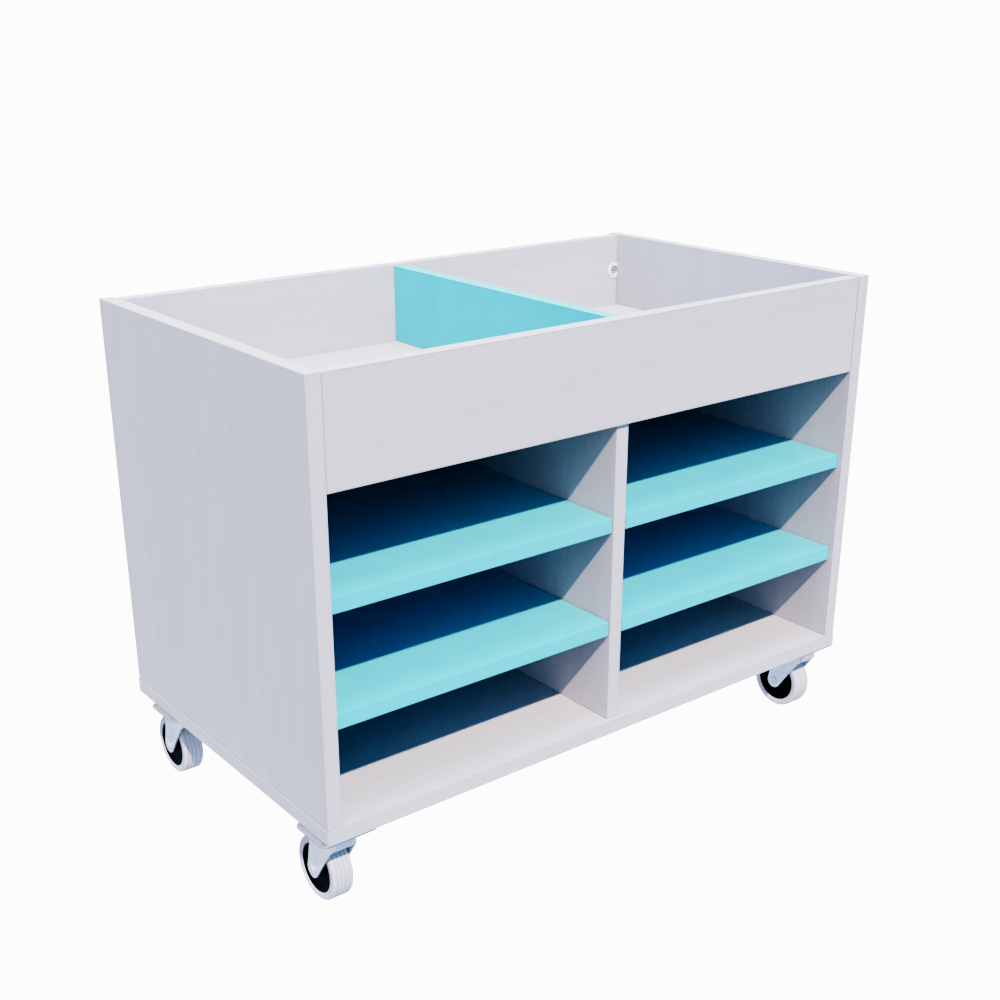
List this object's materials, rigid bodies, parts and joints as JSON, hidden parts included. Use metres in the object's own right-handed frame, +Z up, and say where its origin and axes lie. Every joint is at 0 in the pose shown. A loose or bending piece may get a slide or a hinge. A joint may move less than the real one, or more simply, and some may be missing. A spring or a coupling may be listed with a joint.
{
  "type": "book cart",
  "caption": "Low book cart with an open-top divided bin over open shelf compartments, in pale woodgrain boards with turquoise shelves, on swivel casters.",
  "frame": {"origin": "on the floor, under the middle of the cabinet", "axes": "+X along the front towards its right end, -Y towards the user at the shelf openings, +Z up"},
  "size_m": [0.812, 0.452, 0.598],
  "materials": {
    "pale_laminate": "satin white-washed woodgrain melamine",
    "turquoise_laminate": "satin plain turquoise melamine",
    "white_plastic": "satin",
    "zinc_steel": "bright zinc-plated pressed steel",
    "black_plastic": "satin",
    "grey_rubber": "matt light grey"
  },
  "bodies": {
    "cabinet": {"base_panel": "pale_laminate", "left_side_panel": "pale_laminate", "right_side_panel": "pale_laminate", "back_panel": "pale_laminate", "front_apron": "pale_laminate", "bin_floor": "pale_laminate", "centre_partition": "pale_laminate", "bin_divider": "turquoise_laminate", "shelf_left_lower": "turquoise_laminate", "shelf_left_upper": "turquoise_laminate", "shelf_right_lower": "turquoise_laminate", "shelf_right_upper": "turquoise_laminate", "connector_housing_back_left": "white_plastic", "connector_housing_back_right": "white_plastic", "connector_housing_apron_left": "white_plastic", "connector_housing_apron_right": "white_plastic", "connector_bolt_back_left": "zinc_steel", "connector_bolt_back_right": "zinc_steel", "connector_bolt_apron_left": "zinc_steel", "connector_bolt_apron_right": "zinc_steel", "front_left_caster_plate": "zinc_steel", "front_left_swivel_race": "zinc_steel", "front_left_kingpin": "zinc_steel", "front_right_caster_plate": "zinc_steel", "front_right_swivel_race": "zinc_steel", "front_right_kingpin": "zinc_steel", "rear_left_caster_plate": "zinc_steel", "rear_left_swivel_race": "zinc_steel", "rear_left_kingpin": "zinc_steel", "rear_right_caster_plate": "zinc_steel", "rear_right_swivel_race": "zinc_steel", "rear_right_kingpin": "zinc_steel"},
    "front_left_caster": {"front_left_fork": "zinc_steel", "front_left_axle_bolt": "zinc_steel", "front_left_axle_nut": "zinc_steel"},
    "front_left_wheel": {"front_left_wheel_hub": "black_plastic", "front_left_tyre": "grey_rubber"},
    "front_right_caster": {"front_right_fork": "zinc_steel", "front_right_axle_bolt": "zinc_steel", "front_right_axle_nut": "zinc_steel"},
    "front_right_wheel": {"front_right_wheel_hub": "black_plastic", "front_right_tyre": "grey_rubber"},
    "rear_left_caster": {"rear_left_fork": "zinc_steel", "rear_left_axle_bolt": "zinc_steel", "rear_left_axle_nut": "zinc_steel"},
    "rear_left_wheel": {"rear_left_wheel_hub": "black_plastic", "rear_left_tyre": "grey_rubber"},
    "rear_right_caster": {"rear_right_fork": "zinc_steel", "rear_right_axle_bolt": "zinc_steel", "rear_right_axle_nut": "zinc_steel"},
    "rear_right_wheel": {"rear_right_wheel_hub": "black_plastic", "rear_right_tyre": "grey_rubber"}
  },
  "joints": [
    {"name": "front_left_swivel", "type": "hinge", "parent": "cabinet", "child": "front_left_caster", "pos_m": [-0.371, -0.1945, 0.094], "axis": [0, 0, 1], "continuous": true},
    {"name": "front_left_wheel_spin", "type": "hinge", "parent": "front_left_caster", "child": "front_left_wheel", "pos_m": [-0.371, -0.1675, 0.0375], "axis": [1, 0, 0], "continuous": true},
    {"name": "front_right_swivel", "type": "hinge", "parent": "cabinet", "child": "front_right_caster", "pos_m": [0.371, -0.1945, 0.094], "axis": [0, 0, 1], "continuous": true},
    {"name": "front_right_wheel_spin", "type": "hinge", "parent": "front_right_caster", "child": "front_right_wheel", "pos_m": [0.371, -0.1675, 0.0375], "axis": [1, 0, 0], "continuous": true},
    {"name": "rear_left_swivel", "type": "hinge", "parent": "cabinet", "child": "rear_left_caster", "pos_m": [-0.371, 0.1535, 0.094], "axis": [0, 0, 1], "continuous": true},
    {"name": "rear_left_wheel_spin", "type": "hinge", "parent": "rear_left_caster", "child": "rear_left_wheel", "pos_m": [-0.371, 0.1805, 0.0375], "axis": [1, 0, 0], "continuous": true},
    {"name": "rear_right_swivel", "type": "hinge", "parent": "cabinet", "child": "rear_right_caster", "pos_m": [0.371, 0.1535, 0.094], "axis": [0, 0, 1], "continuous": true},
    {"name": "rear_right_wheel_spin", "type": "hinge", "parent": "rear_right_caster", "child": "rear_right_wheel", "pos_m": [0.371, 0.1805, 0.0375], "axis": [1, 0, 0], "continuous": true}
  ]
}
